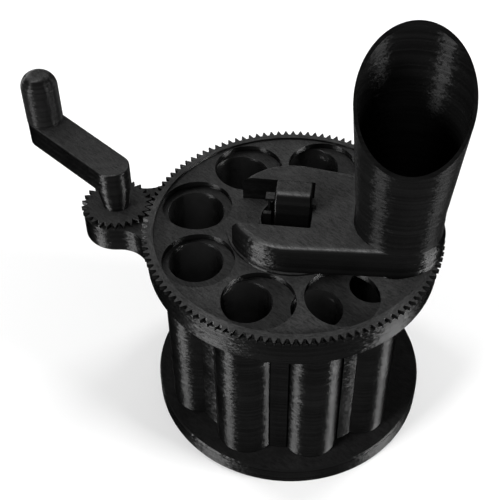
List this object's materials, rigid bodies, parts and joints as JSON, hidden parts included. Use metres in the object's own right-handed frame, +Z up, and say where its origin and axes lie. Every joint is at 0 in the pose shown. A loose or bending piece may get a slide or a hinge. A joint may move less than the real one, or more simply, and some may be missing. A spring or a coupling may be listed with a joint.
{
  "type": "coin wrapping machine",
  "caption": "Hand-cranked coin sorter: a hopper feeds a geared pocket wheel that drops coins by size into round tubes between a deck and a base.",
  "frame": {"origin": "centre of the base's underside, on the wheel's axis", "axes": "+Z up along the wheel's axis, -Y towards the front, +X to the right where the hopper stands; the crank is to the left"},
  "size_m": [0.1669, 0.118, 0.1774],
  "materials": {
    "black_print": "printed in layers, satin",
    "bright_steel": "turned"
  },
  "bodies": {
    "machine": {"base_plate": "black_print", "side_panel_1": "black_print", "side_panel_2": "black_print", "side_panel_3": "black_print", "side_panel_4": "black_print", "side_panel_5": "black_print", "side_panel_6": "black_print", "side_panel_7": "black_print", "side_panel_8": "black_print", "coin_tube_1": "black_print", "coin_tube_2": "black_print", "coin_tube_3": "black_print", "coin_tube_4": "black_print", "coin_tube_5": "black_print", "coin_tube_6": "black_print", "coin_tube_7": "black_print", "coin_tube_8": "black_print", "centre_column": "black_print", "tie_screw": "bright_steel", "deck_plate": "black_print", "centre_post": "black_print", "hopper_arm": "black_print", "hopper_tube": "black_print"},
    "wheel": {"toothed_ring": "black_print", "pocket_disc": "black_print", "hub_bush": "black_print"},
    "crank": {"crank_pinion": "black_print", "crank_arm": "black_print", "crank_axle": "bright_steel", "axle_retainer": "bright_steel", "knob_pin": "bright_steel"},
    "knob": {"crank_knob": "black_print"},
    "latch": {"latch_tab": "black_print"}
  },
  "joints": [
    {"name": "wheel_turn", "type": "hinge", "parent": "machine", "child": "wheel", "pos_m": [0, 0, 0.09], "axis": [0, 0, 1], "continuous": true},
    {"name": "crank_turn", "type": "hinge", "parent": "machine", "child": "crank", "pos_m": [-0.06992, 0.01448, 0.09], "axis": [0, 0, 1], "continuous": true},
    {"name": "knob_spin", "type": "hinge", "parent": "crank", "child": "knob", "pos_m": [-0.09939, 0.04355, 0.12], "axis": [0, 0, 1], "continuous": true},
    {"name": "latch_press", "type": "hinge", "parent": "machine", "child": "latch", "pos_m": [0, 0, 0.0862], "axis": [-0.1305, -0.9914, 0], "range_deg": [0, 4], "stiffness_Nm_per_rad": 0.2}
  ],
  "couplings": [
    {"joint": "crank_turn", "follows": "wheel_turn", "ratio": -4.4615}
  ]
}
